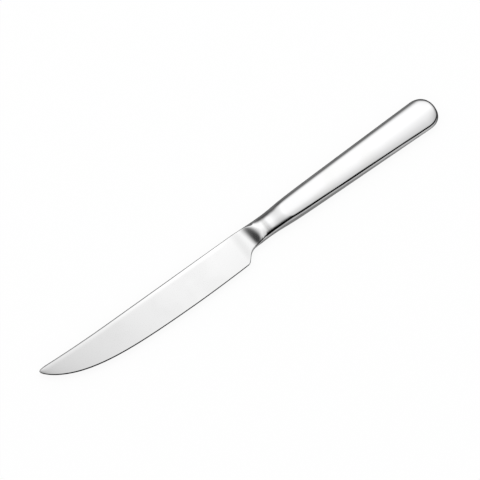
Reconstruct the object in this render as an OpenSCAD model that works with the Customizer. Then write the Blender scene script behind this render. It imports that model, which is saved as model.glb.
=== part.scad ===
// Steak knife with a forged blade and a hollow handle of two brazed half shells.
// It lies on its side: +X runs to the handle's end, +Y to the spine and +Z up.
// The origin is on the flat on which the handle lies, where the handle is thickest.

/* [Blade] */
// Length of the blade from the point to the heel
blade_length = 112; // [80:1:140]
// Height of the straight part of the spine above the handle's middle line
spine_height = 6; // [5:0.05:8]
// How far the point sweeps up above the straight part of the spine
tip_sweep = 1.2; // [0:0.1:3]
// Length of the spine over which the point sweeps up
tip_sweep_length = 38; // [20:1:60]
// Length of the rounded nose at the point
nose_length = 4.5; // [1:0.5:8]
// How far the rounded nose drops from the spine to the point
nose_drop = 1; // [0.5:0.1:1.6]
// Width of the point from the spine to the start of the cutting edge
tip_width = 1.8; // [1.7:0.1:4]
// Depth of the cutting edge below the handle's middle line
edge_depth = 11.85; // [9:0.05:16]
// Length that sets the sweep of the cutting edge, where a longer one is a slimmer point
edge_sweep = 165; // [120:1:240]
// Distance from the point to the deepest place of the cutting edge
belly_place = 76; // [50:1:76]
// How far the cutting edge rises again from its deepest place to the heel
heel_rise = 0.75; // [0:0.05:2]
// Thickness of the spine at the bolster
spine_thickness = 2; // [1.2:0.1:3]
// Thickness of the spine at the point
tip_thickness = 0.86; // [0.72:0.02:1.2]
// Thickness of the ground face just above the cutting edge
edge_thickness = 0.54; // [0.2:0.02:0.7]
// Distance ahead of the heel at which the cutting edge starts to round off
choil_lead = 1.75; // [1:0.05:4]
// Length over which the rounded step from the cutting edge runs out into the neck
choil_length = 18.5; // [10:0.5:18.5]

/* [Bolster] */
// Length from the heel to the joint with the handle
bolster_length = 17; // [17:0.5:24]
// Thickness of the bolster
bolster_thickness = 4.6; // [4.2:0.1:5.4]
// Distance ahead of the heel at which the faces start to swell towards the ramp
foot_lead = 2.5; // [0:0.1:3]
// Length over which the faces swell before the ramp
foot_length = 9; // [5:0.5:12]
// How far each face swells before the ramp
foot_rise = 0.24; // [0:0.02:0.4]
// Distance from the heel to the foot of the hollow ramp
ramp_place = 4.85; // [3:0.05:5]
// Length of the hollow ramp
ramp_length = 10.6; // [7:0.1:10.6]
// How far the ramp leans towards the point for each unit of height
ramp_lean = 0.15; // [0:0.01:0.2]
// Distance from the heel at which the ramp's flat section starts to turn oval
oval_start = 5.6; // [4:0.1:7]
// Length over which the section turns oval
oval_length = 9.5; // [6:0.5:9.5]
// Length over which the spine runs into the bolster
spine_blend_length = 8; // [4:0.5:12]

/* [Handle] */
// Length from the joint to the handle's end
handle_length = 103; // [82:1:130]
// Width that the straight sides would have at the joint
front_width = 12.2; // [11:0.1:16]
// Width of the handle where its end starts to round
end_width = 17; // [12:0.1:22]
// How far the sides bulge out between the joint and the end
side_bulge = 0.06; // [0:0.01:0.4]
// How far each side is drawn in at the neck
neck_dip = 0.45; // [0:0.05:0.8]
// Reach of the drawn-in neck along the handle
neck_reach = 9.5; // [5:0.5:12]
// Distance of the narrowest place behind the joint
neck_place = 2.2; // [0:0.1:4]
// Thickness of the handle where it is thickest
handle_thickness = 6.5; // [6:0.1:9]
// Thickness of the handle before its end
end_thickness = 4.5; // [3.6:0.1:6]
// Height of the soft step at the joint on each face
step_height = 0.3; // [0.1:0.05:0.4]
// Length of the soft step at the joint
step_length = 5.2; // [3:0.1:8]
// Distance from the joint at which the handle starts to rise to its full thickness
rise_place = 0.6; // [0:0.1:3]
// Length over which the handle rises to its full thickness
rise_length = 13.5; // [8:0.5:14]
// Length of the rounded end
end_round = 9; // [6:0.5:14]
// Length over which the faces round off at the end
end_edge_round = 2.4; // [1.8:0.1:4]
// Fullness of the handle's oval section, where 2 is an ellipse
section_fullness = 2.8; // [2.4:0.1:4]
// Fullness of the neck's section on the side of the cutting edge
neck_edge_fullness = 2.2; // [2:0.1:3]
// Fullness of the neck's section on the side of the spine
neck_spine_fullness = 2; // [1.9:0.1:3]
// How slowly the neck's section fills out on the side of the cutting edge, where 1 is as on the spine's side
edge_side_slowness = 0.6; // [0:0.1:1]
// Fullness of the section where the end starts to round
tail_fullness = 2; // [1.8:0.1:3]
// Distance from the joint to the origin on the resting flat
rest_place = 15; // [15:0.5:20]
// Distance from the origin to where the handle starts to thin
taper_place = 5; // [3:0.5:8]
// Depth of the resting flat below the crown of the face
rest_flat_depth = 0.05; // [0.03:0.01:0.1]

/* [Shells] */
// Wall of the pressed half shells
shell_wall = 1; // [0.6:0.05:1.2]
// Wall of the half shells at the handle's end
end_wall = 1.6; // [1.3:0.1:3]
// Thickness of the braze between the half shells
seam_braze_thickness = 0.12; // [0.08:0.02:0.2]
// Thickness of the braze between the bolster and the half shells
neck_braze_thickness = 0.12; // [0.08:0.02:0.2]

/* [Tang] */
// Length of the spigot that centres the handle on the bolster
spigot_length = 3; // [2:0.5:5]
// Length of the tang behind the spigot
tang_length = 46; // [25:1:56]
// Width of the tang
tang_width = 6; // [4:0.1:6.4]
// Thickness of the tang
tang_thickness = 1.8; // [1.4:0.1:2]
// Number of notches on each edge of the tang
tang_notches = 3; // [1:1:5]
// Depth of a notch
notch_depth = 0.8; // [0.2:0.1:1.2]
// Length of a notch
notch_length = 4; // [2:0.5:6]
// Clearance round the spigot, the tang and the cement
inner_clearance = 0.05; // [0.03:0.01:0.1]

/* [Hidden] */

// Places along the knife
joint_x = -rest_place;
heel_x = joint_x - bolster_length;
choil_x = heel_x - choil_lead;
foot_x = heel_x - foot_lead;
ramp_x = heel_x + ramp_place;
oval_x = heel_x + oval_start;
tip_x = heel_x - blade_length;
end_x = joint_x + handle_length;
mouth_x = joint_x + neck_braze_thickness;
spigot_end_x = joint_x + spigot_length;
tang_end_x = spigot_end_x + tang_length;
cavity_end_x = end_x - end_wall;

// Height of the knife's middle plane above the surface that it lies on
middle_z = handle_thickness / 2 - rest_flat_depth;

// Powers of the curves: the edge's sweep, the bow of the ground face, the choil, the ramp and the ends
sweep_power = 8;
sweep_start_power = 0.787;
face_bow = 1.25;
choil_ease = 3;
ramp_ease = 1.2;
ramp_fullness = 7;
end_fullness = 2.3;
end_edge_fullness = 3;
tang_fullness = 8;
taper_soft_start = 0.15;
tip_crowding = 1.9;
end_crowding = 1.7;

// Share of the half width over which the spine's side of a section turns into the edge's side
side_change = 0.3;

// Counts of rings and points in the smooth skins
half_ring = 16;
blade_rings = 26;
bolster_rings = 32;
handle_rings = 34;
notch_rings = 4;

function unit(t) = max(0, min(1, t));

// Step from 0 to 1 with soft ends
function soft_step(from, to, x) =
    let (t = unit((x - from) / (to - from)))
    t * t * t * (t * (6 * t - 15) + 10);

// Straight ramp from 0 to 1 with a soft start
function soft_ramp(t, soft) =
    let (risen = t < soft ? max(0, t) ^ 2 / (2 * soft) : t - soft / 2)
    risen / (1 - soft / 2);

function bell(middle, reach, x) = exp(-((x - middle) / reach) ^ 2);

// Quarter of a superellipse, from 1 at t = 0 to 0 at t = 1
function fall_off(t, power) = (1 - unit(t) ^ power) ^ (1 / power);

// Half width of the handle and bolster, drawn in by an inset and stopped short of the end by a gap
function grip_half_width(x, inset = 0, gap = 0) =
    let (round_x = end_x - end_round)
    let (along = (x - joint_x) / (round_x - joint_x))
    let (straight = (front_width + (end_width - front_width) * along) / 2)
    let (bulge = side_bulge * sin(180 * unit(along)))
    let (dip = neck_dip * bell(joint_x + neck_place, neck_reach, x))
    let (corner = end_round - inset)
    (straight + bulge - dip - inset) * fall_off((x - end_x + gap + corner) / corner, end_fullness);

// Shares of the way up the step at the joint, up to the full thickness, and down to the rounded end
function grip_step(x) = soft_step(joint_x - step_length / 2, joint_x + step_length / 2, x);
function grip_rise(x) = soft_step(joint_x + rise_place, joint_x + rise_place + rise_length, x);
function grip_taper(x) = (x - taper_place) / (end_x - end_round - taper_place);

// Half thickness of the handle and bolster at the crown, with the same inset and gap
function grip_half_thickness(x, inset = 0, gap = 0) =
    let (swell = (handle_thickness - bolster_thickness) / 2 - step_height)
    let (full = bolster_thickness / 2 + step_height * grip_step(x) + swell * grip_rise(x))
    let (taper = (handle_thickness - end_thickness) / 2 * soft_ramp(grip_taper(x), taper_soft_start))
    let (corner = end_edge_round - inset)
    (full - taper - inset) * fall_off((x - end_x + gap + corner) / corner, end_edge_fullness);

// Power of the section's superellipse, which fills out sooner on the edge's side than on the spine's;
// w runs from 1 at the spine to -1 at the edge
function grip_fullness(x, w) =
    let (spine_side = soft_step(-side_change, side_change, w))
    let (neck = neck_edge_fullness + (neck_spine_fullness - neck_edge_fullness) * spine_side)
    let (slow = edge_side_slowness + (1 - edge_side_slowness) * spine_side)
    let (filled = grip_step(x) * (1 - slow) + grip_rise(x) * slow)
    let (taper = (tail_fullness - section_fullness) * unit(grip_taper(x)) ^ 2)
    neck + (section_fullness - neck) * filled + taper;

// Spine and cutting edge of the bare blade
function spine_y(x) = spine_height + tip_sweep * max(0, 1 - (x - tip_x) / tip_sweep_length) ^ 2;

function edge_y(x) =
    let (start = spine_y(tip_x) - tip_width)
    let (sweep = 1 - max(0, 1 - max(0, x - tip_x) / edge_sweep) ^ sweep_power)
    let (behind = max(0, x - tip_x - belly_place) / (blade_length - belly_place))
    start - (edge_depth + start) * sweep ^ sweep_start_power + heel_rise * behind ^ 2;

// Outline of the forging: the rounded point, the choil and the bolster
function top_y(x) =
    let (near = max(0, 1 - (x - tip_x) / nose_length))
    let (blade_top = spine_y(x) - nose_drop * (1 - sqrt(1 - near ^ 2)))
    let (blend = soft_step(heel_x, heel_x + spine_blend_length, x))
    blade_top + (grip_half_width(x) - blade_top) * blend;

function bottom_y(x) =
    let (way = unit((x - choil_x) / choil_length))
    let (blend = soft_step(0, 1, 1 - (1 - way) ^ choil_ease))
    edge_y(x) + (-grip_half_width(x) - edge_y(x)) * blend;

// Half thickness of the ground blade at a height y
function blade_half_thickness(x, y) =
    let (along = unit((x - tip_x) / blade_length))
    let (spine_half = (tip_thickness + (spine_thickness - tip_thickness) * along) / 2)
    let (deep = unit((spine_y(x) - y) / (spine_y(x) - edge_y(x))))
    let (edge_half = edge_thickness / 2)
    edge_half + (spine_half - edge_half) * (1 - deep ^ face_bow);

// Half thickness of the forging: the blade, run by way of the hollow ramp into the oval bolster
function forging_half_thickness(x, y, w) =
    let (way = unit((x - ramp_x + ramp_lean * y) / ramp_length))
    let (blend = soft_step(0, 1, 1 - (1 - way) ^ ramp_ease))
    let (foot = foot_rise * soft_step(foot_x, foot_x + foot_length, x))
    let (oval = soft_step(oval_x, oval_x + oval_length, x))
    let (section = fall_off(abs(w), ramp_fullness + (grip_fullness(x, w) - ramp_fullness) * oval))
    (blade_half_thickness(x, y) + foot * section) * (1 - blend) + grip_half_thickness(x) * section * blend;

// Closed ring from the spine over the near face to the edge and back over the far face
function ring(x, high, low, half_thickness) = [
    for (j = [0 : 2 * half_ring - 1])
        let (w = cos(180 * j / half_ring))
        let (y = (high + low) / 2 + w * (high - low) / 2)
        let (side = j % half_ring == 0 ? 0 : j < half_ring ? 1 : -1)
        [x, y, side * half_thickness(y, w)]
];

function forging_ring(x) =
    ring(x, top_y(x), bottom_y(x), function (y, w) forging_half_thickness(x, y, w));

// Ring of an oval section, whose fullness is a function of w
function oval_ring(x, half_width, half_thickness, fullness) =
    ring(x, half_width, -half_width, function (y, w) half_thickness * fall_off(abs(w), fullness(w)));

// The handle's section, drawn in by an inset and stopped short of the end by a gap
function grip_ring(x, inset, gap = 0) =
    let (half_width = grip_half_width(x, inset, gap))
    let (half_thickness = grip_half_thickness(x, inset, gap))
    oval_ring(x, half_width, half_thickness, function (w) grip_fullness(x, w));

// Rings of the tang from the spigot to its end, grown for the pocket that it sits in
function tang_rings(grow) =
    let (pitch = tang_length / (tang_notches + 1))
    let (half = tang_width / 2)
    let (at = function (x, half_width)
        oval_ring(x, half_width + grow, tang_thickness / 2 + grow, function (w) tang_fullness))
    [
        at(spigot_end_x + grow, half),
        for (k = [1 : tang_notches])
            for (i = [0 : notch_rings])
                let (turn = 180 * i / notch_rings)
                at(spigot_end_x + k * pitch - notch_length / 2 * cos(turn), half - notch_depth * sin(turn)),
        at(tang_end_x + grow, half),
    ];

// Places along the forging, close together towards the point
function blade_place(i) = tip_x + (choil_x - tip_x) * (i / blade_rings) ^ tip_crowding;
function bolster_place(i) = choil_x + (joint_x - choil_x) * i / bolster_rings;

// Places along a half shell, close together towards the end
function shell_place(i, stop_x) =
    mouth_x + (stop_x - mouth_x) * (1 - (1 - i / handle_rings) ^ end_crowding);

// Solid skin over a row of rings, closed by a point at each end
module skin(rings, head, tail) {
    count = len(rings[0]);
    last = len(rings) - 1;
    points = concat([head], [for (r = rings) each r], [tail]);
    function at(i, j) = 1 + i * count + j % count;
    faces = [
        for (j = [0 : count - 1]) [0, at(0, j), at(0, j + 1)],
        for (i = [0 : last - 1], j = [0 : count - 1]) [at(i, j), at(i + 1, j), at(i + 1, j + 1)],
        for (i = [0 : last - 1], j = [0 : count - 1]) [at(i, j), at(i + 1, j + 1), at(i, j + 1)],
        for (j = [0 : count - 1]) [len(points) - 1, at(last, j + 1), at(last, j)],
    ];
    polyhedron(points, faces);
}

// Forging of the blade, the bolster, the spigot and the notched tang
module blade() {
    spigot = [for (p = grip_ring(mouth_x, shell_wall + inner_clearance)) [0, p.y, p.z]];
    rings = [
        for (i = [1 : blade_rings]) forging_ring(blade_place(i)),
        for (i = [1 : bolster_rings]) forging_ring(bolster_place(i)),
        for (x = [joint_x, spigot_end_x]) [for (p = spigot) [x, p.y, p.z]],
        each tang_rings(0),
    ];
    head = [tip_x, (top_y(tip_x) + bottom_y(tip_x)) / 2, 0];
    color("gainsboro")
        translate([0, 0, middle_z])
            skin(rings, head, [tang_end_x, 0, 0]);
}

// The near half of the handle as one pressed shell, with its seam on the middle plane
module half_shell() {
    across = half_ring + 1;
    last = handle_rings - 1;
    seam_z = seam_braze_thickness / 2;
    function layer(stop_x, inset, gap) = [
        for (i = [0 : last])
            let (section = grip_ring(shell_place(i, stop_x), inset, gap))
            for (j = [0 : half_ring]) [section[j].x, section[j].y, max(seam_z, section[j].z)]
    ];
    outside = layer(end_x, 0, 0);
    inside = layer(cavity_end_x, shell_wall, end_wall);
    points = concat(outside, inside, [[end_x, 0, seam_z], [cavity_end_x, 0, seam_z]]);
    poles = [len(points) - 2, len(points) - 1];
    function at(wall, i, j) = i > last ? poles[wall] : (wall * handle_rings + i) * across + j;
    function quad(a, b, c, d) = [[a, b, c], [a, c, d]];
    faces = [
        for (i = [0 : last], j = [0 : half_ring - 1])
            each quad(at(0, i, j), at(0, i + 1, j), at(0, i + 1, j + 1), at(0, i, j + 1)),
        for (i = [0 : last], j = [0 : half_ring - 1])
            each quad(at(1, i, j + 1), at(1, i + 1, j + 1), at(1, i + 1, j), at(1, i, j)),
        for (i = [0 : last])
            each quad(at(1, i, 0), at(1, i + 1, 0), at(0, i + 1, 0), at(0, i, 0)),
        for (i = [0 : last])
            let (j = half_ring)
            each quad(at(0, i, j), at(0, i + 1, j), at(1, i + 1, j), at(1, i, j)),
        for (j = [0 : half_ring - 1])
            each quad(at(0, 0, j), at(0, 0, j + 1), at(1, 0, j + 1), at(1, 0, j)),
    ];
    difference() {
        polyhedron(points, [for (f = faces) if (f[0] != f[1] && f[1] != f[2]) f]);
        translate([-handle_length, -end_width, middle_z])
            cube([2 * handle_length, 2 * end_width, handle_thickness]);
    }
}

module handle_half_near() {
    color("whitesmoke")
        translate([0, 0, middle_z])
            half_shell();
}

module handle_half_far() {
    color("whitesmoke")
        translate([0, 0, middle_z])
            mirror([0, 0, 1])
                half_shell();
}

// Braze between the rims of the half shells, one band round the whole handle
module seam_braze() {
    outside = [
        for (i = [0 : handle_rings])
            let (x = shell_place(i, end_x))
            [x, grip_half_width(x)]
    ];
    inside = [
        for (i = [0 : handle_rings])
            let (x = shell_place(i, cavity_end_x))
            [x, grip_half_width(x, shell_wall, end_wall)]
    ];
    function back_and_flip(path) = [for (i = [handle_rings - 1 : -1 : 0]) [path[i].x, -path[i].y]];
    band = concat(
        outside,
        back_and_flip(outside),
        [for (p = inside) [p.x, -p.y]],
        [for (p = back_and_flip(inside)) [p.x, -p.y]]
    );
    color("lightgray")
        translate([0, 0, middle_z - seam_braze_thickness / 2])
            linear_extrude(seam_braze_thickness)
                polygon(band);
}

// Braze ring between the bolster and the mouth of the handle
module neck_braze() {
    color("lightgray")
        translate([joint_x, 0, middle_z])
            rotate([90, 0, 90])
                linear_extrude(neck_braze_thickness)
                    difference() {
                        polygon([for (p = grip_ring(mouth_x, 0)) [p.y, p.z]]);
                        polygon([for (p = grip_ring(mouth_x, shell_wall)) [p.y, p.z]]);
                    }
}

// Cement that fills the handle from the spigot to its end, with a pocket for the tang
module tang_cement() {
    inset = shell_wall + inner_clearance;
    gap = end_wall + inner_clearance;
    start_x = spigot_end_x + inner_clearance;
    pocket = tang_rings(inner_clearance);
    places = [
        start_x,
        for (i = [1 : handle_rings - 1])
            let (x = shell_place(i, cavity_end_x))
            if (x > start_x && x < end_x - gap) x
    ];
    rings = [
        for (i = [len(pocket) - 1 : -1 : 0]) pocket[i],
        for (x = places) grip_ring(x, inset, gap),
    ];
    color("tan")
        translate([0, 0, middle_z])
            skin(rings, [tang_end_x + inner_clearance, 0, 0], [end_x - gap, 0, 0]);
}

blade();
handle_half_near();
handle_half_far();
seam_braze();
neck_braze();
tang_cement();
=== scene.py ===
"""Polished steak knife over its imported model: a forged blade and a hollow handle of two brazed halves."""
import math
from types import SimpleNamespace

import bpy
import numpy as np
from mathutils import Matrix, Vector


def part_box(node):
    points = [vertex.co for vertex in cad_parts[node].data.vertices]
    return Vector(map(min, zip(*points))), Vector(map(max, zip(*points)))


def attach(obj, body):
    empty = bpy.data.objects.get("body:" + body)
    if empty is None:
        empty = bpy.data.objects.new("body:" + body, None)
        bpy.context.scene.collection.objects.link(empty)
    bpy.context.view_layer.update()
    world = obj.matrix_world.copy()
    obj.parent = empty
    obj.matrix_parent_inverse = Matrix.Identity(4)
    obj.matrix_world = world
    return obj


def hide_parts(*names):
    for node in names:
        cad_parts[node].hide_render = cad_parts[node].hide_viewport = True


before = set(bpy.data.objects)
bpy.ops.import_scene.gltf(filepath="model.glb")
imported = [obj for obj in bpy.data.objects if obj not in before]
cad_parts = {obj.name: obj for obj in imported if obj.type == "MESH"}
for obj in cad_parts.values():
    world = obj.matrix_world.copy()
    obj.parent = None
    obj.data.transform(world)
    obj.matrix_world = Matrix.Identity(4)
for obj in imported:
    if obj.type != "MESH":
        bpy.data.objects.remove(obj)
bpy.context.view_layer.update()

MM = 0.001

# Sizes of the handle and bolster, which the half shells, the braze and the forging share
neck_low, neck_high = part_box("neck_braze")
seam_low, seam_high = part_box("seam_braze")
GRIP = {
    "joint_x": neck_low.x,
    "mouth_x": neck_high.x,
    "end_x": seam_high.x,
    "middle_z": (seam_low.z + seam_high.z) / 2,
    "seam_half": (seam_high.z - seam_low.z) / 2,
    "front_width": 12.2 * MM,
    "end_width": 16.99 * MM,
    "side_bulge": 0.06 * MM,
    "neck_dip": 0.45 * MM,
    "neck_reach": 9.5 * MM,
    "neck_place": 2.2 * MM,
    "bolster_thickness": 4.6 * MM,
    "handle_thickness": 6.5 * MM,
    "end_thickness": 4.5 * MM,
    "step_height": 0.3 * MM,
    "step_length": 5.2 * MM,
    "rise_place": 0.6 * MM,
    "rise_length": 13.5 * MM,
    "end_round": 9 * MM,
    "end_edge_round": 2.4 * MM,
    "taper_place": 5 * MM,
    "rest_depth": 0.05 * MM,
    "shell_wall": 1 * MM,
    "end_wall": 1.6 * MM,
    "section_fullness": 2.8,
    "neck_edge_fullness": 2.2,
    "neck_spine_fullness": 2,
    "tail_fullness": 2,
    "side_change": 0.3,
    "edge_side_slowness": 0.6,
    "end_fullness": 2.3,
    "end_edge_fullness": 3,
    "taper_soft_start": 0.15,
    "end_crowding": 1.7,
}

# Sizes of the forging ahead of the joint and of its tang
BOLSTER_LENGTH = 17 * MM
SPIGOT_LENGTH = 3 * MM
FORGING = SimpleNamespace(
    tip_x=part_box("blade")[0].x,
    heel_x=GRIP["joint_x"] - BOLSTER_LENGTH,
    blade_length=112 * MM,
    spine_height=6 * MM,
    tip_sweep=1.2 * MM,
    tip_sweep_length=38 * MM,
    nose_length=4.5 * MM,
    nose_drop=1 * MM,
    tip_width=1.8 * MM,
    edge_depth=11.849 * MM,
    edge_sweep=165 * MM,
    belly_place=76 * MM,
    heel_rise=0.75 * MM,
    spine_thickness=2 * MM,
    tip_thickness=0.86 * MM,
    edge_thickness=0.54 * MM,
    choil_lead=1.75 * MM,
    choil_length=18.5 * MM,
    choil_ease=3,
    foot_lead=2.5 * MM,
    foot_length=9 * MM,
    foot_rise=0.24 * MM,
    ramp_place=4.85 * MM,
    ramp_length=10.6 * MM,
    ramp_lean=0.15,
    ramp_ease=1.2,
    ramp_fullness=7,
    oval_start=5.6 * MM,
    oval_length=9.5 * MM,
    spine_blend_length=8 * MM,
    tip_spine_round=1.6 * MM,
    heel_spine_round=0.6 * MM,
    ramp_spine_round=6.8 * MM,
    least_round=0.01 * MM,
    spine_round_share=0.3,
    spine_fullness=2.5,
    choil_round_start=0.25 * MM,
    choil_round_end=0.85 * MM,
    tip_bevel=0.54 * MM,
    heel_bevel=0.37 * MM,
    keen_share=0.2,
    sweep_power=8,
    sweep_start_power=0.787,
    face_bow=1.25,
    tip_crowding=1.9,
    spigot_end_x=GRIP["joint_x"] + SPIGOT_LENGTH,
    tang_end_x=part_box("blade")[1].x,
    tang_width=6 * MM,
    tang_thickness=1.8 * MM,
    tang_fullness=8,
    tang_notches=3,
    notch_depth=0.8 * MM,
    notch_length=4 * MM,
    inner_clearance=0.05 * MM,
)

# Counts of rows and columns in the smooth skins
BLADE_ROWS = 240
BOLSTER_ROWS = 170
NOTCH_ROWS = 12
FORGING_COLUMNS = 176
SHELL_ROWS = 300
SHELL_HALF_COLUMNS = 64
SEAM_ROWS = 401
NECK_ROWS = 257
BAND_COLUMNS = 5

# Edges with a sharper turn than this are creases, and points closer than this become one
CREASE_ANGLE = math.radians(34)
JOIN_DISTANCE = 0.0004 * MM

# How far the crown is eased round the resting flat, and how gently, in depths of the flat
EASE_REACH = 2
EASE_GENTLENESS = 9

# The photograph's view: the camera's direction, distance and lens, and the point in the picture's middle
VIEW_AZIMUTH = math.radians(-37.157)
VIEW_ELEVATION = math.radians(70)
VIEW_DISTANCE = 1.3
VIEW_LENS = 203.7
VIEW_SENSOR = 36
VIEW_END = 20
VIEW_CENTRE = Vector((-29, 1.845, 2.71)) * MM


class Field:
    """A value in a node tree that takes part in ordinary arithmetic."""

    def __init__(self, tree, socket):
        self.tree = tree
        self.socket = socket

    def __add__(self, other):
        return work_out("ADD", np.add, self, other)

    def __sub__(self, other):
        return work_out("SUBTRACT", np.subtract, self, other)

    def __mul__(self, other):
        return work_out("MULTIPLY", np.multiply, self, other)

    def __truediv__(self, other):
        return work_out("DIVIDE", np.divide, self, other)

    def __rsub__(self, other):
        return work_out("SUBTRACT", np.subtract, other, self)

    def __rtruediv__(self, other):
        return work_out("DIVIDE", np.divide, other, self)

    __radd__ = __add__
    __rmul__ = __mul__


def work_out(operation, numpy_way, *values):
    """One step of arithmetic: a Math node where a value is a Field, or numbers at once."""
    tree = next((v.tree for v in values if isinstance(v, Field)), None)
    if tree is None:
        return numpy_way(*values)
    node = tree.nodes.new("ShaderNodeMath")
    node.operation = operation
    for value, socket in zip(values, node.inputs):
        if isinstance(value, Field):
            tree.links.new(value.socket, socket)
        else:
            socket.default_value = value
    return Field(tree, node.outputs[0])


def greater(a, b):
    return work_out("MAXIMUM", np.maximum, a, b)


def lesser(a, b):
    return work_out("MINIMUM", np.minimum, a, b)


def power(base, exponent):
    return work_out("POWER", np.power, base, exponent)


def cosine(angle):
    return work_out("COSINE", np.cos, angle)


def sine(angle):
    return work_out("SINE", np.sin, angle)


def magnitude(value):
    return work_out("ABSOLUTE", np.abs, value)


def sign(value):
    return work_out("SIGN", np.sign, value)


def above(value, limit):
    """1 where the value lies above the limit, and 0 elsewhere."""
    return work_out("GREATER_THAN", lambda a, b: np.where(a > b, 1.0, 0.0), value, limit)


def unit(value):
    return lesser(greater(value, 0), 1)


def soft_step(start, stop, x):
    """Step from 0 to 1 with soft ends."""
    t = unit((x - start) / (stop - start))
    return t * t * t * (t * (t * 6 - 15) + 10)


def soft_ramp(t, soft):
    """Straight ramp from 0 to 1 with a soft start."""
    early = lesser(greater(t, 0), soft)
    return (early * early / (soft * 2) + greater(t - soft, 0)) / (1 - soft / 2)


def bell(middle, reach, x):
    """Bell curve of height 1 round a middle."""
    t = (x - middle) / reach
    return work_out("EXPONENT", np.exp, t * t * -1)


def fall_off(t, fullness):
    """Quarter of a superellipse, from 1 at t = 0 to 0 at t = 1."""
    return power(greater(1 - power(unit(t), fullness), 0), 1 / fullness)


def grip_half_width(k, x, inset=0, gap=0):
    """Half width of the handle and bolster, drawn in by an inset and stopped short of the end by a gap."""
    along = (x - k.joint_x) / (k.end_x - k.end_round - k.joint_x)
    straight = (k.front_width + (k.end_width - k.front_width) * along) / 2
    bulge = k.side_bulge * sine(unit(along) * math.pi)
    dip = k.neck_dip * bell(k.joint_x + k.neck_place, k.neck_reach, x)
    corner = k.end_round - inset
    rounding = fall_off((x - k.end_x + gap + corner) / corner, k.end_fullness)
    return (straight + bulge - dip - inset) * rounding


def grip_step(k, x):
    """Share of the way up the step at the joint."""
    return soft_step(k.joint_x - k.step_length / 2, k.joint_x + k.step_length / 2, x)


def grip_rise(k, x):
    """Share of the way from the joint up to the handle's full thickness."""
    start_x = k.joint_x + k.rise_place
    return soft_step(start_x, start_x + k.rise_length, x)


def grip_taper(k, x):
    """Share of the way from where the handle starts to thin to its rounded end."""
    start_x = k.taper_place
    return (x - start_x) / (k.end_x - k.end_round - start_x)


def grip_fullness(k, x, across):
    """Power of the section's superellipse, which fills out sooner on the edge's side than on the spine's."""
    spine_side = soft_step(k.side_change * -1, k.side_change, across)
    slow = k.edge_side_slowness + (1 - k.edge_side_slowness) * spine_side
    filled = grip_step(k, x) * (1 - slow) + grip_rise(k, x) * slow
    taper = unit(grip_taper(k, x))
    neck = k.neck_edge_fullness + (k.neck_spine_fullness - k.neck_edge_fullness) * spine_side
    front = neck + (k.section_fullness - neck) * filled
    return front + (k.tail_fullness - k.section_fullness) * taper * taper


def grip_half_thickness(k, x, inset=0, gap=0):
    """Half thickness of the handle and bolster at the crown, with the same inset and gap."""
    swell = (k.handle_thickness - k.bolster_thickness) / 2 - k.step_height
    full = k.bolster_thickness / 2 + k.step_height * grip_step(k, x) + swell * grip_rise(k, x)
    taper = (k.handle_thickness - k.end_thickness) / 2 * soft_ramp(grip_taper(k, x), k.taper_soft_start)
    corner = k.end_edge_round - inset
    rounding = fall_off((x - k.end_x + gap + corner) / corner, k.end_edge_fullness)
    return (full - taper - inset) * rounding


def shell_x(k, share, gap=0):
    """Place along a half shell from its mouth to its end, with the rows crowded towards the end."""
    stop = k.end_x - gap
    return k.mouth_x + (stop - k.mouth_x) * (1 - power(1 - share, k.end_crowding))


def half_shell_point(k, row, column):
    """A point of a half shell's skin: over the outer wall, back over the inner one, and a closed mouth."""
    half = k.half_columns
    column = column - above(column, half * 2 + 1.5) * (half * 2 + 2)
    inner = above(column, half + 0.5)
    turn = (column + inner * (half * 2 + 1 - column * 2)) / half
    across = cosine(turn * math.pi) * -1
    mouth = 1 - above(row, 0.5)
    share = greater(row - 1, 0) / (k.rows - 2)
    gap = k.end_wall * inner
    inset = k.shell_wall * (inner * (1 - mouth) + mouth / 2)
    x = shell_x(k, share, gap)
    oval = fall_off(magnitude(across), grip_fullness(k, x, k.side * across))
    height = greater(grip_half_thickness(k, x, inset, gap) * oval, k.seam_half)
    crown = greater(height - k.middle_z + k.rest_depth * EASE_REACH, 0)
    eased = height - crown * crown / (k.rest_depth * EASE_GENTLENESS)
    return x, k.side * across * grip_half_width(k, x, inset, gap), k.middle_z + k.side * eased


def band_sides(column):
    """1 for columns on a band's inner wall, and 1 for those on its second rim; the last column closes it."""
    column = column - above(column, BAND_COLUMNS - 1.5) * (BAND_COLUMNS - 1)
    return above(column, 1.5), above(column, 0.5) * (1 - above(column, 2.5))


def seam_point(k, row, column):
    """A point of the band between the half shells, from the mouth round the end and back to the mouth."""
    inner, lower = band_sides(column)
    capped = above(0.5, row) + above(row, k.rows - 1.5)
    way = unit((row - 1) / (k.rows - 3)) * 2 - 1
    gap = k.end_wall * inner
    x = shell_x(k, 1 - magnitude(way), gap)
    y = sign(way) * grip_half_width(k, x, k.shell_wall * inner, gap) * -1
    return x, y, k.middle_z + k.seam_half * (1 - lower * 2) * (1 - capped)


def neck_point(k, row, column):
    """A point of the ring between the bolster and the mouth of the half shells."""
    inner, behind = band_sides(column)
    turn = row / (k.rows - 1) * (2 * math.pi)
    across = cosine(turn)
    inset = k.shell_wall * inner
    x = k.joint_x + (k.mouth_x - k.joint_x) * behind
    oval = fall_off(magnitude(across), grip_fullness(k, k.mouth_x, across))
    height = grip_half_thickness(k, k.mouth_x, inset) * oval * sign(sine(turn))
    return x, across * grip_half_width(k, k.mouth_x, inset), k.middle_z + height


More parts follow.
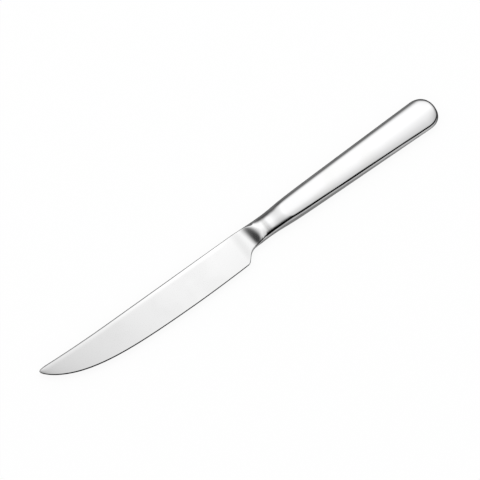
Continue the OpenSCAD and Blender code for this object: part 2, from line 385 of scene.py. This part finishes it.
def skin_tree(name, sizes, point):
    """A node tree that bends a grid of rows and columns into a closed skin, with an input for every size."""
    tree = bpy.data.node_groups.new(name, "GeometryNodeTree")
    tree.interface.new_socket("Geometry", in_out="INPUT", socket_type="NodeSocketGeometry")
    for label in sizes:
        kind = "NodeSocketInt" if label in ("rows", "columns") else "NodeSocketFloat"
        tree.interface.new_socket(label, in_out="INPUT", socket_type=kind)
    tree.interface.new_socket("Material", in_out="INPUT", socket_type="NodeSocketMaterial")
    tree.interface.new_socket("Geometry", in_out="OUTPUT", socket_type="NodeSocketGeometry")

    def add(kind, **values):
        node = tree.nodes.new(kind)
        for label, value in values.items():
            setattr(node, label, value)
        return node

    def chain(node, geometry):
        tree.links.new(geometry, node.inputs["Geometry"])
        return node.outputs["Geometry"]

    inputs = add("NodeGroupInput")
    k = SimpleNamespace(**{label: Field(tree, inputs.outputs[label]) for label in sizes})

    grid = add("GeometryNodeMeshGrid")
    tree.links.new(inputs.outputs["rows"], grid.inputs["Vertices X"])
    tree.links.new(inputs.outputs["columns"], grid.inputs["Vertices Y"])
    tree.links.new((k.rows - 1).socket, grid.inputs["Size X"])
    tree.links.new((k.columns - 1).socket, grid.inputs["Size Y"])

    spot = add("ShaderNodeSeparateXYZ")
    tree.links.new(add("GeometryNodeInputPosition").outputs["Position"], spot.inputs[0])
    row = work_out("ROUND", np.round, Field(tree, spot.outputs["X"]) + (k.rows - 1) / 2)
    column = work_out("ROUND", np.round, Field(tree, spot.outputs["Y"]) + (k.columns - 1) / 2)
    place = add("ShaderNodeCombineXYZ")
    for axis, value in zip("XYZ", point(k, row, column)):
        tree.links.new(value.socket, place.inputs[axis])
    bent = add("GeometryNodeSetPosition")
    tree.links.new(place.outputs[0], bent.inputs["Position"])
    skin = chain(bent, grid.outputs["Mesh"])

    closed = add("GeometryNodeMergeByDistance")
    closed.inputs["Distance"].default_value = JOIN_DISTANCE
    skin = chain(closed, skin)

    crease = add("FunctionNodeCompare", operation="GREATER_THAN")
    tree.links.new(add("GeometryNodeInputMeshEdgeAngle").outputs["Unsigned Angle"], crease.inputs["A"])
    crease.inputs["B"].default_value = CREASE_ANGLE
    sharp = add("GeometryNodeSetShadeSmooth", domain="EDGE")
    tree.links.new(crease.outputs["Result"], sharp.inputs["Selection"])
    sharp.inputs["Shade Smooth"].default_value = False
    skin = chain(sharp, skin)

    skin = chain(add("GeometryNodeRealizeInstances"), skin)
    finish = add("GeometryNodeSetMaterial")
    tree.links.new(inputs.outputs["Material"], finish.inputs["Material"])
    skin = chain(finish, skin)
    tree.links.new(skin, add("NodeGroupOutput").inputs["Geometry"])
    return tree


def new_object(name, mesh):
    piece = bpy.data.objects.new(name, mesh)
    bpy.context.scene.collection.objects.link(piece)
    return piece


def skin_piece(name, tree, sizes, material):
    """A piece whose mesh is what the tree gives for these sizes."""
    maker = new_object(name + "_maker", bpy.data.meshes.new(name + "_maker"))
    modifier = maker.modifiers.new("skin", "NODES")
    modifier.node_group = tree
    values = {**sizes, "Material": material}
    for socket in tree.interface.items_tree:
        if socket.in_out == "INPUT" and socket.name in values:
            modifier[socket.identifier] = values[socket.name]
    made = maker.evaluated_get(bpy.context.evaluated_depsgraph_get())
    mesh = bpy.data.meshes.new_from_object(made)
    bpy.data.objects.remove(maker)
    mesh.name = name
    return new_object(name, mesh)


def spine_y(f, x):
    """Height of the bare blade's spine."""
    ahead = greater(1 - (x - f.tip_x) / f.tip_sweep_length, 0)
    return f.spine_height + f.tip_sweep * ahead * ahead


def edge_y(f, x):
    """Height of the bare blade's cutting edge."""
    start = spine_y(f, f.tip_x) - f.tip_width
    sweep = 1 - greater(1 - greater(x - f.tip_x, 0) / f.edge_sweep, 0) ** f.sweep_power
    behind = greater(x - f.tip_x - f.belly_place, 0) / (f.blade_length - f.belly_place)
    return start - (f.edge_depth + start) * sweep ** f.sweep_start_power + f.heel_rise * behind ** 2


def choil_share(f, x):
    """Share of the way from the cutting edge up to the neck."""
    way = unit((x - f.heel_x + f.choil_lead) / f.choil_length)
    return soft_step(0, 1, 1 - (1 - way) ** f.choil_ease)


def top_y(k, f, x):
    """Upper outline of the forging, with the rounded nose and the bolster."""
    near = greater(1 - (x - f.tip_x) / f.nose_length, 0)
    blade_top = spine_y(f, x) - f.nose_drop * (1 - np.sqrt(1 - near ** 2))
    blend = soft_step(f.heel_x, f.heel_x + f.spine_blend_length, x)
    return blade_top + (grip_half_width(k, x) - blade_top) * blend


def bottom_y(k, f, x):
    """Lower outline of the forging, with the choil and the bolster."""
    edge = edge_y(f, x)
    return edge + (-grip_half_width(k, x) - edge) * choil_share(f, x)


def blade_along(f, x):
    """Share of the way from the point to the heel."""
    return unit((x - f.tip_x) / f.blade_length)


def blade_half_thickness(f, x, y):
    """Half thickness of the ground blade at a height y."""
    spine_half = (f.tip_thickness + (f.spine_thickness - f.tip_thickness) * blade_along(f, x)) / 2
    spine = spine_y(f, x)
    deep = unit((spine - y) / (spine - edge_y(f, x)))
    edge_half = f.edge_thickness / 2
    return edge_half + (spine_half - edge_half) * (1 - deep ** f.face_bow)


def forging_half_thickness(k, f, x, y, across, top, bottom):
    """Half thickness of the forging: the blade with its eased spine and keen edge, run into the bolster."""
    from_edge = y - bottom
    bevel_width = f.tip_bevel + (f.heel_bevel - f.tip_bevel) * blade_along(f, x)
    bevel = f.keen_share + (1 - f.keen_share) * unit(from_edge / bevel_width)
    keen = bevel * fall_off(1 - from_edge / (bevel_width * f.keen_share / 2), 2)
    choil = choil_share(f, x)
    choil_round = f.choil_round_start + (f.choil_round_end - f.choil_round_start) * choil
    eased_choil = fall_off(1 - from_edge / choil_round, 2)
    blade = blade_half_thickness(f, x, y) * (keen + (eased_choil - keen) * choil)

    foot_x = f.heel_x + f.ramp_place - f.ramp_lean * y
    blend = soft_step(0, 1, 1 - (1 - unit((x - foot_x) / f.ramp_length)) ** f.ramp_ease)
    swell_x = f.heel_x - f.foot_lead
    swell = f.foot_rise * soft_step(swell_x, swell_x + f.foot_length, x)
    oval_x = f.heel_x + f.oval_start
    oval = soft_step(oval_x, oval_x + f.oval_length, x)
    fullness = f.ramp_fullness + (grip_fullness(k, x, across) - f.ramp_fullness) * oval
    section = fall_off(np.abs(across), fullness)
    half = (blade + swell * section) * (1 - blend) + grip_half_thickness(k, x) * section * blend

    spine_round = f.tip_spine_round + (f.heel_spine_round - f.tip_spine_round) * blade_along(f, x)
    spine_round = (spine_round + f.ramp_spine_round * blend * blend * blend) * (1 - oval * oval)
    spine_round = lesser(spine_round, (top - bottom) * f.spine_round_share)
    return half * fall_off(1 - (top - y) / greater(spine_round, f.least_round), f.spine_fullness)


def ring_columns(count):
    """Round a ring from the spine over the near face and back: each column's height share and its side."""
    turn = 2 * np.pi * np.arange(count) / count
    side = np.sign(np.sin(turn))
    side[[0, count // 2]] = 0
    return np.cos(turn), side


def forging_rings(k, f, places):
    """Rings of the blade and the bolster at places along the knife."""
    across, side = ring_columns(FORGING_COLUMNS)
    x = places[:, None] + 0 * across
    top, bottom = top_y(k, f, x), bottom_y(k, f, x)
    y = (top + bottom) / 2 + across * (top - bottom) / 2
    half = forging_half_thickness(k, f, x, y, across, top, bottom)
    return np.stack([x, y, k.middle_z + side * half], axis=-1)


def oval_rings(k, places, half_width, half_thickness, fullness):
    """Rings of an oval section, for the spigot and the tang."""
    across, side = ring_columns(FORGING_COLUMNS)
    x = np.asarray(places)[:, None] + 0 * across
    y = across * np.asarray(half_width)[:, None]
    z = side * half_thickness * fall_off(np.abs(across), fullness)
    return np.stack([x, y, k.middle_z + z + 0 * x], axis=-1)


def tang_rings(k, f):
    """The notched tang behind the spigot."""
    pitch = (f.tang_end_x - f.spigot_end_x) / (f.tang_notches + 1)
    turn = np.linspace(0, np.pi, NOTCH_ROWS + 1)
    places = [f.spigot_end_x]
    widths = [f.tang_width / 2]
    for notch in range(1, f.tang_notches + 1):
        places.extend(f.spigot_end_x + notch * pitch - f.notch_length / 2 * np.cos(turn))
        widths.extend(f.tang_width / 2 - f.notch_depth * np.sin(turn))
    places.append(f.tang_end_x)
    widths.append(f.tang_width / 2)
    return oval_rings(k, places, widths, f.tang_thickness / 2, f.tang_fullness)


def forged_blade(k, f):
    """Mesh of the forging from the point to the end of the tang, as one closed skin of rings."""
    choil_x = f.heel_x - f.choil_lead
    blade_share = (np.arange(1, BLADE_ROWS + 1) / BLADE_ROWS) ** f.tip_crowding
    bolster_share = np.arange(1, BOLSTER_ROWS + 1) / BOLSTER_ROWS
    inset = k.shell_wall + f.inner_clearance
    spigot_width = grip_half_width(k, k.mouth_x, inset)
    spigot_thickness = grip_half_thickness(k, k.mouth_x, inset)
    spigot_fullness = grip_fullness(k, k.mouth_x, ring_columns(FORGING_COLUMNS)[0])
    rings = np.concatenate([
        forging_rings(k, f, f.tip_x + (choil_x - f.tip_x) * blade_share),
        forging_rings(k, f, choil_x + (k.joint_x - choil_x) * bolster_share),
        oval_rings(k, [k.joint_x, f.spigot_end_x], [spigot_width] * 2, spigot_thickness, spigot_fullness),
        tang_rings(k, f),
    ])
    rows, columns = rings.shape[:2]
    tip_y = (top_y(k, f, f.tip_x) + bottom_y(k, f, f.tip_x)) / 2
    points = [*rings.reshape(-1, 3), (f.tip_x, tip_y, k.middle_z), (f.tang_end_x, 0, k.middle_z)]
    head, tail = len(points) - 2, len(points) - 1
    faces = []
    for j in range(columns):
        after = (j + 1) % columns
        last = (rows - 1) * columns
        faces.append((head, after, j))
        faces.append((tail, last + j, last + after))
        for i in range(0, last, columns):
            faces.append((i + j, i + after, i + columns + after, i + columns + j))
    mesh = bpy.data.meshes.new("forged_blade")
    mesh.from_pydata(points, [], faces)
    mesh.shade_smooth()
    mesh.set_sharp_from_angle(angle=CREASE_ANGLE)
    return mesh


def group_tree(name, inputs, outputs):
    """An empty shader group with these inputs, given with their usual values, and these outputs."""
    tree = bpy.data.node_groups.new(name, "ShaderNodeTree")
    for label, value in inputs.items():
        socket = tree.interface.new_socket(label, in_out="INPUT", socket_type="NodeSocketFloat")
        socket.default_value = value
    for label in outputs:
        tree.interface.new_socket(label, in_out="OUTPUT", socket_type="NodeSocketFloat")
    ends = tree.nodes.new("NodeGroupInput"), tree.nodes.new("NodeGroupOutput")
    return tree, *ends


def object_coordinates(tree):
    return tree.nodes.new("ShaderNodeTexCoord").outputs["Object"]


def noise(tree, vector, scale, detail=2.0, roughness=0.5):
    """Noise of a scale in features per metre, as a Field from 0 to 1."""
    node = tree.nodes.new("ShaderNodeTexNoise")
    tree.links.new(vector, node.inputs["Vector"])
    node.inputs["Scale"].default_value = scale
    node.inputs["Detail"].default_value = detail
    node.inputs["Roughness"].default_value = roughness
    return Field(tree, node.outputs[0])


def stretched(tree, vector, scale):
    """Coordinates stretched along the axes, so that noise becomes lines."""
    node = tree.nodes.new("ShaderNodeMapping")
    tree.links.new(vector, node.inputs["Vector"])
    node.inputs["Scale"].default_value = scale
    return node.outputs["Vector"]


# Lines in the polish: stretch along the axes and features per metre; then the noise above which one strays,
# the depth of such a line, and the middle of the noise
FINE_LINES = (0.02, 1, 1), 9000
BROAD_LINES = (0.05, 1, 1), 1500
STRAY_LINES = (0.12, 1, 0.4), 2600
STRAY_LIMIT = 0.71
STRAY_DEPTH = 0.5
NOISE_MIDDLE = 0.5


def polishing_lines_group():
    """Fine lines that the polishing wheel leaves along the knife, and a few stray hairlines across them."""
    inputs = {"Lines": 1, "Hairlines": 1}
    tree, ends_in, ends_out = group_tree("polishing_lines", inputs, ["Height", "Dulling"])
    place = object_coordinates(tree)

    def drawn(stretch, scale, detail=2.0):
        return noise(tree, stretched(tree, place, stretch), scale, detail)

    fine = drawn(*FINE_LINES, detail=3)
    broad = drawn(*BROAD_LINES)
    strays = above(drawn(*STRAY_LINES), STRAY_LIMIT)
    lines = Field(tree, ends_in.outputs["Lines"])
    hairlines = Field(tree, ends_in.outputs["Hairlines"])
    height = (fine + broad) / 2 * lines - strays * hairlines * STRAY_DEPTH
    tree.links.new(height.socket, ends_out.inputs["Height"])
    dulling = (fine - NOISE_MIDDLE) * lines + strays * hairlines
    tree.links.new(dulling.socket, ends_out.inputs["Dulling"])
    return tree


# Haze: patches per metre, and the noise over which they come in
PATCH_SCALE = 60
PATCH_RANGE = (0.42, 0.75)


def handling_haze_group():
    """Soft patches where hands and cloths have left the polish a little duller."""
    tree, ends_in, ends_out = group_tree("handling_haze", {"Patch Scale": PATCH_SCALE}, ["Haze"])
    place = object_coordinates(tree)
    patches = noise(tree, place, PATCH_SCALE, detail=4)
    tree.links.new(ends_in.outputs["Patch Scale"], patches.socket.node.inputs["Scale"])
    tree.links.new(soft_step(*PATCH_RANGE, patches).socket, ends_out.inputs["Haze"])
    return tree


def use_group(material, tree, **values):
    """A group at work in a material, as the Fields that it puts out."""
    node = material.node_tree.nodes.new("ShaderNodeGroup")
    node.node_tree = tree
    for label, value in values.items():
        node.inputs[label.replace("_", " ")].default_value = value
    return SimpleNamespace(**{
        socket.name.lower(): Field(material.node_tree, socket) for socket in node.outputs
    })


def new_material(name):
    material = bpy.data.materials.new(name)
    material.use_nodes = True
    return material, material.node_tree, material.node_tree.nodes["Principled BSDF"]


def mix_colours(tree, share, first, second):
    """Two colours mixed by a Field, where each is a plain colour or a socket."""
    node = tree.nodes.new("ShaderNodeMix")
    node.data_type = "RGBA"
    tree.links.new(share.socket, node.inputs["Factor"])
    colours = [socket for socket in node.inputs if socket.type == "RGBA"]
    for socket, colour in zip(colours, (first, second)):
        if isinstance(colour, tuple):
            socket.default_value = (*colour, 1)
        else:
            tree.links.new(colour, socket)
    return next(socket for socket in node.outputs if socket.type == "RGBA")


def bump(tree, height, depth):
    node = tree.nodes.new("ShaderNodeBump")
    node.inputs["Distance"].default_value = depth
    tree.links.new(height.socket, node.inputs["Height"])
    return node.outputs["Normal"]


# Added roughness in the haziest patches and along the lines
HAZE_DULLING = 0.035
LINE_DULLING = 0.03

# Painted highlight: band along the blade's spine whose steel is painted brighter in place of the reflection
# there: depths from the spine, and its fading before the heel
HIGHLIGHT_FULL = 0.8 * MM
HIGHLIGHT_END = 3.2 * MM
HIGHLIGHT_FADE = 12 * MM
PAINTED_HIGHLIGHT_COLOUR = (1.0, 1.0, 1.0)


def painted_spine_highlight(tree):
    """Share of the painted highlight along the blade's spine."""
    spot = tree.nodes.new("ShaderNodeSeparateXYZ")
    tree.links.new(object_coordinates(tree), spot.inputs[0])
    x, y = (Field(tree, spot.outputs[axis]) for axis in "XY")
    near = 1 - soft_step(HIGHLIGHT_FULL, HIGHLIGHT_END, spine_y(FORGING, x) - y)
    return near * (1 - soft_step(FORGING.heel_x - HIGHLIGHT_FADE, FORGING.heel_x, x))


def polished_steel(
    name, groups, clean, hazed, gloss, line_depth, lines, hairlines, patch_scale, painted_highlight=None,
):
    """Polished steel with its lines and haze, and a painted highlight where one is given; gloss is the
    roughness of the clean polish.
    """
    material, tree, shader = new_material(name)
    marks = use_group(material, groups.lines, Lines=lines, Hairlines=hairlines)
    haze = use_group(material, groups.haze, Patch_Scale=patch_scale).haze
    shader.inputs["Metallic"].default_value = 1
    rough = unit(gloss + haze * HAZE_DULLING + marks.dulling * LINE_DULLING)
    tree.links.new(rough.socket, shader.inputs["Roughness"])
    colour = mix_colours(tree, haze, clean, hazed)
    # Painted highlight: the base colour is lightened towards white where the highlight falls
    if painted_highlight:
        colour = mix_colours(tree, painted_highlight(tree), colour, PAINTED_HIGHLIGHT_COLOUR)
    tree.links.new(colour, shader.inputs["Base Color"])
    tree.links.new(bump(tree, marks.height, line_depth), shader.inputs["Normal"])
    return material


# Cement: features per metre of its sand and lumps, its colours, roughness and the depth of its grain
SAND_SCALE = 2200
LUMP_SCALE = 300
DARK_SAND = (0.2, 0.17, 0.14)
LIGHT_SAND = (0.5, 0.44, 0.37)
CEMENT_ROUGHNESS = 0.8
LUMP_ROUGHNESS = 0.15
GRAIN_DEPTH = 0.15 * MM


def set_cement():
    """Dry grey-brown cement with sand grains and pores, hidden inside the handle."""
    material, tree, shader = new_material("set_cement")
    place = object_coordinates(tree)
    sand = noise(tree, place, SAND_SCALE, detail=6, roughness=0.7)
    lumps = noise(tree, place, LUMP_SCALE)
    tree.links.new(mix_colours(tree, sand, DARK_SAND, LIGHT_SAND), shader.inputs["Base Color"])
    tree.links.new((CEMENT_ROUGHNESS + lumps * LUMP_ROUGHNESS).socket, shader.inputs["Roughness"])
    tree.links.new(bump(tree, sand + lumps, GRAIN_DEPTH), shader.inputs["Normal"])
    return material


def add_camera():
    """Camera at the photograph's view."""
    camera = bpy.data.objects.new("camera", bpy.data.cameras.new("camera"))
    bpy.context.scene.collection.objects.link(camera)
    level = math.cos(VIEW_ELEVATION)
    back = Vector((
        math.sin(VIEW_AZIMUTH) * level,
        -math.cos(VIEW_AZIMUTH) * level,
        math.sin(VIEW_ELEVATION),
    ))
    camera.location = VIEW_CENTRE + back * VIEW_DISTANCE
    camera.rotation_mode = "QUATERNION"
    camera.rotation_quaternion = (-back).to_track_quat("-Z", "Y")
    camera.data.lens = VIEW_LENS
    camera.data.sensor_width = VIEW_SENSOR
    camera.data.clip_end = VIEW_END
    bpy.context.scene.camera = camera


def seen_plainly(tree):
    """1 for rays from the camera, or by way of metal or glass, for which the background is white."""
    rays = tree.nodes.new("ShaderNodeLightPath")
    kinds = ("Is Camera Ray", "Is Glossy Ray", "Is Transmission Ray")
    camera, glossy, through = (Field(tree, rays.outputs[kind]) for kind in kinds)
    return greater(greater(camera, glossy), through)


# Floor: half its width in metres, its height, its colour and the share of plain white in what is seen of it
FLOOR_HALF = 3
FLOOR_HEIGHT = -0.2 * MM
FLOOR_COLOUR = (0.9, 0.9, 0.9, 1)
FLOOR_WHITE = 0.9


def add_floor():
    """Plain white floor that keeps a soft share of the knife's shadow."""
    corners = [(-1, -1), (1, -1), (1, 1), (-1, 1)]
    mesh = bpy.data.meshes.new("floor")
    mesh.from_pydata([(x * FLOOR_HALF, y * FLOOR_HALF, FLOOR_HEIGHT) for x, y in corners], [], [(0, 1, 2, 3)])
    floor = new_object("floor", mesh)
    material, tree, shader = new_material("floor_white")
    shader.inputs["Base Color"].default_value = FLOOR_COLOUR
    shader.inputs["Roughness"].default_value = 1
    shader.inputs["Specular IOR Level"].default_value = 0
    glow = tree.nodes.new("ShaderNodeEmission")
    mix = tree.nodes.new("ShaderNodeMixShader")
    tree.links.new((seen_plainly(tree) * FLOOR_WHITE).socket, mix.inputs["Fac"])
    tree.links.new(shader.outputs[0], mix.inputs[1])
    tree.links.new(glow.outputs[0], mix.inputs[2])
    tree.links.new(mix.outputs[0], tree.nodes["Material Output"].inputs["Surface"])
    mesh.materials.append(material)


# Brightness of the tent round the knife: degrees from straight up, towards the cutting edge, and level
TENT_ROUND = [
    (-90, 0.24), (-76, 0.19), (-64, 0.14), (-59, 0.18), (-50, 0.53), (-41, 1), (-34, 1.13), (-16, 1.13),
    (-8, 0.99), (6, 0.8), (20, 0.69), (40, 0.5), (58, 0.53), (72, 0.5), (90, 0.3),
]
# Slant of the dark side behind the spine: place along the knife in metres, and the degrees that it is turned;
# then the degrees over which it comes in
SLANT_ALONG = [(-2, -12), (-0.02, -12), (0.005, -5), (0.04, -3), (0.1, -3), (0.23, 0), (0.37, 3), (0.42, 3),
               (0.5, 8), (0.6, 11), (0.8, 8), (2, 8)]
SLANT_ROUND = (-24, -40)
# Dark strip low on the tent, softer towards the point: place in metres, and the degrees at which it starts,
# is full and ends; then the degrees over which it runs out
STRIP_STARTS = [(-2, 0), (0.14, 0), (0.2, 17), (0.225, 20), (0.26, 23), (0.29, 26.5), (0.315, 23.5),
                (0.35, 24), (2, 24)]
STRIP_FULL = [(-2, 22), (-0.15, 22), (-0.06, 27), (0, 31), (0.1, 31), (0.16, 27), (0.225, 33), (0.29, 31),
              (0.315, 29.5), (0.35, 31), (2, 31)]
STRIP_ENDS = [(-2, 51), (0.29, 51), (0.34, 43), (2, 43)]
STRIP_RIM = 5
# Brightness along the tent: place along the knife in metres, and level
TENT_ALONG = [
    (-2, 0.75), (-0.7, 0.75), (-0.5, 0.35), (-0.38, 0.05), (-0.27, 0.05), (-0.21, 0.14), (-0.1, 0.48),
    (-0.04, 0.67), (0.02, 0.79), (0.09, 0.94), (0.14, 1.04), (0.22, 1), (0.26, 1.01), (0.3, 1.03),
    (0.4, 1.03), (0.6, 0.88), (0.85, 0.74), (1.2, 0.4), (1.6, 0.2), (2, 0.15),
]
# Shade low behind the neck: place along the knife in metres and depth, and the degrees over which it comes in
SHADE_ALONG = [(-2, 0), (0.02, 0), (0.1, 0.4), (0.16, 0.4), (0.24, 0), (2, 0)]
SHADE_ROUND = (-42, -60)
# Light wing low behind the blade: level, and the metres and degrees over which it comes in
WING_LEVEL = 0.6
WING_ALONG = (-0.24, -0.36)
WING_ROUND = (-48, -64)
# Shade on the tent's bed past the handle's end: depth, and the length over which it comes in
PAST_END_DEPTH = 0.9
PAST_END_LENGTH = 6 * MM
# The tent's size in metres, how far its bed lies below the table, and the height up to which it counts as bed
TENT_RADIUS = 1.0
TENT_HALF_LENGTH = 2.0
TENT_SIDES = 64
TENT_DROP = 0.1 * MM
TENT_BED = 1 * MM


def level_ramp(tree, value, stops):
    """A Field that follows the stops, which are places and levels."""
    first, last = stops[0][0], stops[-1][0]
    lowest = min(level for _, level in stops)
    node = tree.nodes.new("ShaderNodeValToRGB")
    while len(node.color_ramp.elements) < len(stops):
        node.color_ramp.elements.new(0.5)
    for element, (place, level) in zip(node.color_ramp.elements, stops):
        element.position = (place - first) / (last - first)
        element.color = (level - lowest, level - lowest, level - lowest, 1)
    tree.links.new(((value - first) / (last - first)).socket, node.inputs["Fac"])
    return Field(tree, node.outputs["Color"]) + lowest


def add_tent():
    """Soft light tent that only polished steel sees: bright above, dark low down and towards the point."""
    turns = np.linspace(-math.pi / 2, math.pi / 2, TENT_SIDES + 1)
    outline = [(-TENT_RADIUS * math.sin(a), TENT_RADIUS * math.cos(a) - TENT_DROP) for a in turns]
    count = len(outline)
    points = [(x, y, z) for x in (-TENT_HALF_LENGTH, TENT_HALF_LENGTH) for y, z in outline]
    faces = [(i, (i + 1) % count, count + (i + 1) % count, count + i) for i in range(count)]
    faces += [tuple(range(count)), tuple(range(count, 2 * count))]
    mesh = bpy.data.meshes.new("light_tent")
    mesh.from_pydata(points, [], faces)
    tent = new_object("light_tent", mesh)
    material = bpy.data.materials.new("tent_cloth")
    material.use_nodes = True
    material.cycles.emission_sampling = "NONE"
    tree = material.node_tree
    tree.nodes.remove(tree.nodes["Principled BSDF"])
    spot = tree.nodes.new("ShaderNodeSeparateXYZ")
    tree.links.new(object_coordinates(tree), spot.inputs[0])
    x, y, z = (Field(tree, spot.outputs[axis]) for axis in "XYZ")
    lean = work_out("ARCTAN2", np.arctan2, y * -1, greater(z, 0)) * (180 / math.pi)
    glow = tree.nodes.new("ShaderNodeEmission")
    strip = soft_step(level_ramp(tree, x, STRIP_STARTS), level_ramp(tree, x, STRIP_FULL), lean)
    strip_ends = level_ramp(tree, x, STRIP_ENDS)
    strip = strip * (1 - soft_step(strip_ends, strip_ends + STRIP_RIM, lean))
    slanted = lean + level_ramp(tree, x, SLANT_ALONG) * soft_step(*SLANT_ROUND, lean)
    level = level_ramp(tree, slanted, TENT_ROUND) * level_ramp(tree, x, TENT_ALONG) * (1 - strip)
    level = level * (1 - level_ramp(tree, x, SHADE_ALONG) * soft_step(*SHADE_ROUND, lean))
    wing = soft_step(*WING_ALONG, x) * soft_step(*WING_ROUND, lean) * above(z, TENT_BED)
    level = greater(level, wing * WING_LEVEL)
    past_end = soft_step(GRIP["end_x"], GRIP["end_x"] + PAST_END_LENGTH, x) * (1 - above(z, TENT_BED))
    level = level * (1 - past_end * PAST_END_DEPTH)
    tree.links.new(level.socket, glow.inputs["Strength"])
    tree.links.new(glow.outputs[0], tree.nodes["Material Output"].inputs["Surface"])
    mesh.materials.append(material)
    tent.visible_camera = False
    tent.visible_diffuse = False
    tent.visible_shadow = False
    tent.visible_transmission = False
    tent.visible_volume_scatter = False


# Surroundings: level for the rays that light the floor, and the lamp's place, turn, width and power
FILL_LEVEL = 0.85
LAMP_PLACE = (0.1, 0.25, 1.2)
LAMP_TURN = (math.radians(-12), math.radians(5), 0)
LAMP_WIDTH = 0.9
LAMP_POWER = 4


def add_light():
    """Even white surroundings and one large soft lamp overhead."""
    world = bpy.data.worlds.new("studio")
    bpy.context.scene.world = world
    world.use_nodes = True
    tree = world.node_tree
    background = tree.nodes["Background"]
    background.inputs["Color"].default_value = (1, 1, 1, 1)
    strength = FILL_LEVEL + seen_plainly(tree) * (1 - FILL_LEVEL)
    tree.links.new(strength.socket, background.inputs["Strength"])
    lamp = bpy.data.objects.new("overhead_lamp", bpy.data.lights.new("overhead_lamp", "AREA"))
    bpy.context.scene.collection.objects.link(lamp)
    lamp.location = LAMP_PLACE
    lamp.rotation_euler = LAMP_TURN
    lamp.data.size = LAMP_WIDTH
    lamp.data.energy = LAMP_POWER
    lamp.visible_glossy = False
    lamp.visible_camera = False


def finish_piece(piece, slot, *nodes):
    """Hangs the piece on the root body and hides the imported parts that it stands for; the slot is not used.
    """
    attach(piece, "root")
    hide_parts(*nodes)


scene = bpy.context.scene
scene.view_settings.view_transform = "Standard"
add_camera()
add_light()
add_floor()
add_tent()

marks = SimpleNamespace(lines=polishing_lines_group(), haze=handling_haze_group())
# The blade's steel carries a painted highlight along its spine
blade_steel = polished_steel(
    "blade_steel", marks, clean=(0.88, 0.88, 0.881), hazed=(0.85, 0.85, 0.85), gloss=0.1,
    line_depth=0.0006 * MM, lines=1.0, hairlines=0.6, patch_scale=45, painted_highlight=painted_spine_highlight,
)
handle_steel = polished_steel(
    "handle_steel", marks, clean=(0.88, 0.88, 0.885), hazed=(0.85, 0.85, 0.845), gloss=0.045,
    line_depth=0.0002 * MM, lines=0.7, hairlines=1.0, patch_scale=70,
)
braze_metal = polished_steel(
    "braze_metal", marks, clean=(0.8, 0.79, 0.77), hazed=(0.72, 0.7, 0.67), gloss=0.16,
    line_depth=0.0006 * MM, lines=1.0, hairlines=0.3, patch_scale=300,
)

grip = SimpleNamespace(**GRIP)
forging = new_object("forged_blade", forged_blade(grip, FORGING))
forging.data.materials.append(blade_steel)
finish_piece(forging, "blade_steel", "blade")

shell_sizes = {
    **GRIP,
    "rows": SHELL_ROWS,
    "columns": 2 * SHELL_HALF_COLUMNS + 3,
    "half_columns": SHELL_HALF_COLUMNS,
    "side": 1,
}
shell_tree = skin_tree("pressed_half_shell", shell_sizes, half_shell_point)
for name, node, side in (("upper_half", "handle_half_near", 1), ("lower_half", "handle_half_far", -1)):
    shell = skin_piece(name, shell_tree, {**shell_sizes, "side": side}, handle_steel)
    finish_piece(shell, "handle_steel", node)

seam_sizes = {**GRIP, "rows": SEAM_ROWS, "columns": BAND_COLUMNS}
seam = skin_piece("seam_line", skin_tree("seam_band", seam_sizes, seam_point), seam_sizes, braze_metal)
finish_piece(seam, "braze", "seam_braze")

neck_sizes = {**GRIP, "rows": NECK_ROWS, "columns": BAND_COLUMNS}
neck = skin_piece("neck_line", skin_tree("neck_ring", neck_sizes, neck_point), neck_sizes, braze_metal)
finish_piece(neck, "braze", "neck_braze")

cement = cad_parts["tang_cement"]
cement.data.materials.clear()
cement.data.materials.append(set_cement())
